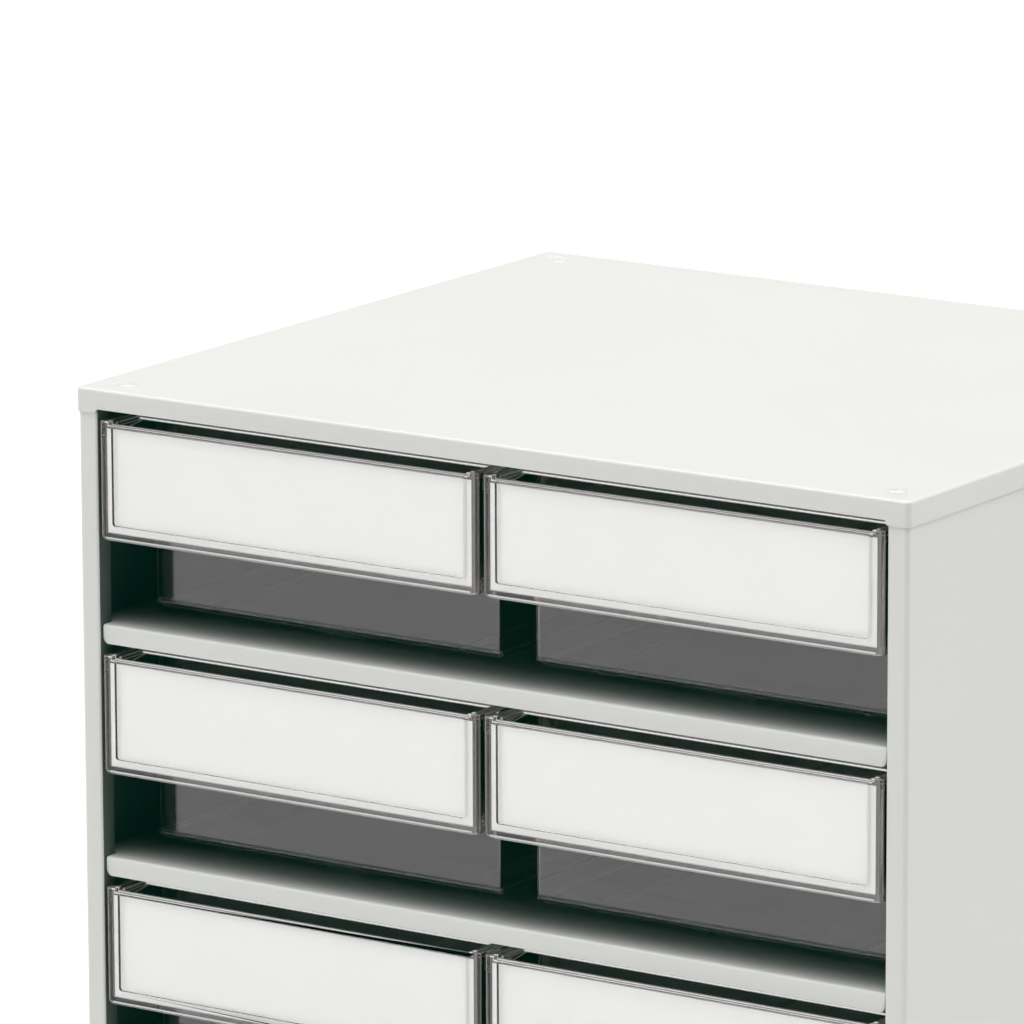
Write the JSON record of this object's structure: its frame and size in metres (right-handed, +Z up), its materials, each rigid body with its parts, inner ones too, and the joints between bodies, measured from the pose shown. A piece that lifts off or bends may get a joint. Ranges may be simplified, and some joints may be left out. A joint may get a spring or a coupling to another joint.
{
  "type": "small parts drawer cabinet",
  "caption": "Sheet steel housing with rows of clear pull-out drawers, each with a hanging label panel that serves as its handle.",
  "frame": {"origin": "middle of the footprint, on the surface that the feet stand on", "axes": "+X to the right as seen from the front, +Y to the back, +Z up; the drawers open towards -Y"},
  "size_m": [0.387, 0.338, 0.3963],
  "materials": {
    "painted_steel": "light grey powder coat, satin",
    "clear_plastic": "clear moulded polystyrene, polished",
    "label_card": "plain white card, matt",
    "rubber_foot": "black rubber"
  },
  "bodies": {
    "cabinet": {"top_panel": "painted_steel", "base_panel": "painted_steel", "left_side_panel": "painted_steel", "right_side_panel": "painted_steel", "back_panel": "painted_steel", "shelf_1": "painted_steel", "shelf_2": "painted_steel", "shelf_3": "painted_steel", "shelf_4": "painted_steel", "feet": "rubber_foot"},
    "row1_left_drawer": {"drawer_row1_left": "clear_plastic", "label_card_row1_left": "label_card"},
    "row1_right_drawer": {"drawer_row1_right": "clear_plastic", "label_card_row1_right": "label_card"},
    "row2_left_drawer": {"drawer_row2_left": "clear_plastic", "label_card_row2_left": "label_card"},
    "row2_right_drawer": {"drawer_row2_right": "clear_plastic", "label_card_row2_right": "label_card"},
    "row3_left_drawer": {"drawer_row3_left": "clear_plastic", "label_card_row3_left": "label_card"},
    "row3_right_drawer": {"drawer_row3_right": "clear_plastic", "label_card_row3_right": "label_card"},
    "row4_left_drawer": {"drawer_row4_left": "clear_plastic", "label_card_row4_left": "label_card"},
    "row4_right_drawer": {"drawer_row4_right": "clear_plastic", "label_card_row4_right": "label_card"}
  },
  "joints": [
    {"name": "row1_left_slide", "type": "slide", "parent": "cabinet", "child": "row1_left_drawer", "axis": [0, -1, 0], "range_m": [0, 0.25]},
    {"name": "row1_right_slide", "type": "slide", "parent": "cabinet", "child": "row1_right_drawer", "axis": [0, -1, 0], "range_m": [0, 0.25]},
    {"name": "row2_left_slide", "type": "slide", "parent": "cabinet", "child": "row2_left_drawer", "axis": [0, -1, 0], "range_m": [0, 0.25]},
    {"name": "row2_right_slide", "type": "slide", "parent": "cabinet", "child": "row2_right_drawer", "axis": [0, -1, 0], "range_m": [0, 0.25]},
    {"name": "row3_left_slide", "type": "slide", "parent": "cabinet", "child": "row3_left_drawer", "axis": [0, -1, 0], "range_m": [0, 0.25]},
    {"name": "row3_right_slide", "type": "slide", "parent": "cabinet", "child": "row3_right_drawer", "axis": [0, -1, 0], "range_m": [0, 0.25]},
    {"name": "row4_left_slide", "type": "slide", "parent": "cabinet", "child": "row4_left_drawer", "axis": [0, -1, 0], "range_m": [0, 0.25]},
    {"name": "row4_right_slide", "type": "slide", "parent": "cabinet", "child": "row4_right_drawer", "axis": [0, -1, 0], "range_m": [0, 0.25]}
  ]
}
